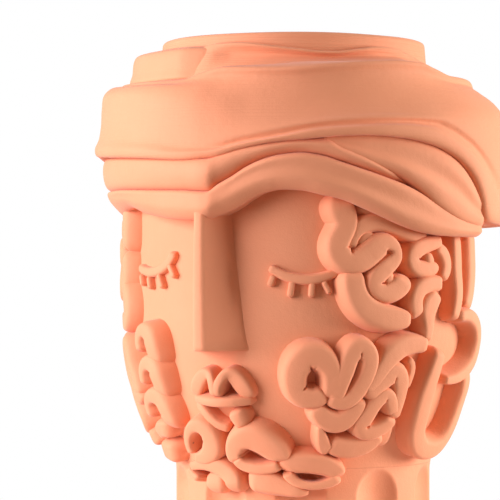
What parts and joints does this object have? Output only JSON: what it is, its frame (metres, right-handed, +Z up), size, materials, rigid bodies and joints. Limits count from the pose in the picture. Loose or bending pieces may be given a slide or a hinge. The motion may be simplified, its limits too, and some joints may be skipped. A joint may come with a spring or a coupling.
{
  "type": "face vase",
  "caption": "Terracotta vase shaped as a turbaned head with closed eyes and a curled beard, on a fluted neck, open at the top for stems or a plant.",
  "frame": {"origin": "centre of the flat underside of the base, on the axis of the neck", "axes": "+Z up along the neck's axis, -Y towards where the face looks, +X towards the head's own left side"},
  "size_m": [0.3008, 0.3004, 0.362],
  "materials": {
    "terracotta": "matte"
  },
  "bodies": {
    "root": {"base_disc": "terracotta", "fluted_neck": "terracotta", "head_wall": "terracotta", "left_beard_hem": "terracotta", "left_beard_scallop": "terracotta", "left_cheek_curl": "terracotta", "left_cheek_petal": "terracotta", "left_chin_curl": "terracotta", "left_chin_loop": "terracotta", "left_chin_tip": "terracotta", "left_ear": "terracotta", "left_ear_curl_lower": "terracotta", "left_ear_curl_upper": "terracotta", "left_ear_lobe": "terracotta", "left_ear_wisp": "terracotta", "left_earring": "terracotta", "left_eyelashes": "terracotta", "left_eyelid": "terracotta", "left_jaw_arm": "terracotta", "left_jaw_core": "terracotta", "left_jaw_petal": "terracotta", "left_temple_hook": "terracotta", "left_temple_ring": "terracotta", "left_temple_scroll": "terracotta", "left_temple_sweep": "terracotta", "lip_parting": "terracotta", "lower_lip": "terracotta", "mouth_collar": "terracotta", "nose": "terracotta", "right_beard_hem": "terracotta", "right_beard_scallop": "terracotta", "right_cheek_curl": "terracotta", "right_cheek_petal": "terracotta", "right_chin_curl": "terracotta", "right_chin_loop": "terracotta", "right_ear": "terracotta", "right_ear_curl_lower": "terracotta", "right_ear_curl_upper": "terracotta", "right_ear_lobe": "terracotta", "right_ear_wisp": "terracotta", "right_earring": "terracotta", "right_eyelashes": "terracotta", "right_eyelid": "terracotta", "right_jaw_arm": "terracotta", "right_jaw_core": "terracotta", "right_jaw_petal": "terracotta", "right_temple_hook": "terracotta", "right_temple_ring": "terracotta", "right_temple_scroll": "terracotta", "right_temple_sweep": "terracotta", "shoulder_ring": "terracotta", "turban_broad_band": "terracotta", "turban_brow_roll": "terracotta", "turban_middle_band": "terracotta", "turban_rim_fold": "terracotta", "turban_side_fan": "terracotta", "turban_top_wrap": "terracotta", "upper_lip": "terracotta"}
  },
  "joints": []
}
